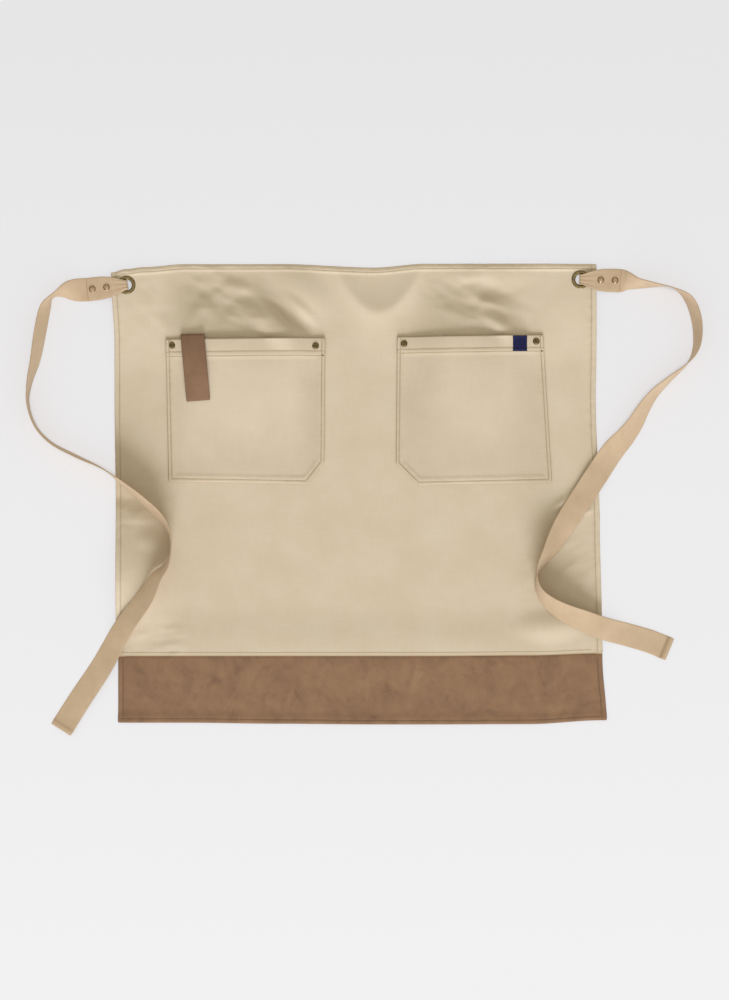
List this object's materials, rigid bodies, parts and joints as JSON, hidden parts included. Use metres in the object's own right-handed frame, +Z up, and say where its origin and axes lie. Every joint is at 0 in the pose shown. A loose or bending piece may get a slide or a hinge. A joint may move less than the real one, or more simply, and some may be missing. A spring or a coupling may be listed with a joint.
{
  "type": "waiter apron",
  "caption": "Waist apron of cotton canvas lying face up, with a leather hem band, gaping patch pockets, a leather tab and webbing ties riveted through eyelets.",
  "frame": {"origin": "on the underside of the panel, at the middle of the apron, on the table that it lies on", "axes": "+X to the right as seen from above, +Y towards the waist, +Z up from the table"},
  "size_m": [0.9733, 0.678, 0.0351],
  "materials": {
    "canvas": "heavy cotton canvas, matt",
    "suede": "brushed suede, mottled",
    "leather": "brushed leather, matt",
    "webbing": "cotton twill webbing, matt",
    "label": "woven label, bare",
    "dark_brass": "antiqued",
    "light_brass": "satin"
  },
  "bodies": {
    "root": {"panel": "canvas", "hem_band": "suede", "pocket_left": "canvas", "pocket_right": "canvas", "leather_tab": "leather", "label": "label", "eyelet_left": "dark_brass", "eyelet_right": "dark_brass", "tie_left": "webbing", "tie_right": "webbing", "pocket_rivet_1": "dark_brass", "pocket_rivet_2": "dark_brass", "pocket_rivet_3": "dark_brass", "pocket_rivet_4": "dark_brass", "tie_rivet_1": "light_brass", "tie_rivet_2": "light_brass", "tie_rivet_3": "light_brass", "tie_rivet_4": "light_brass"}
  },
  "joints": []
}
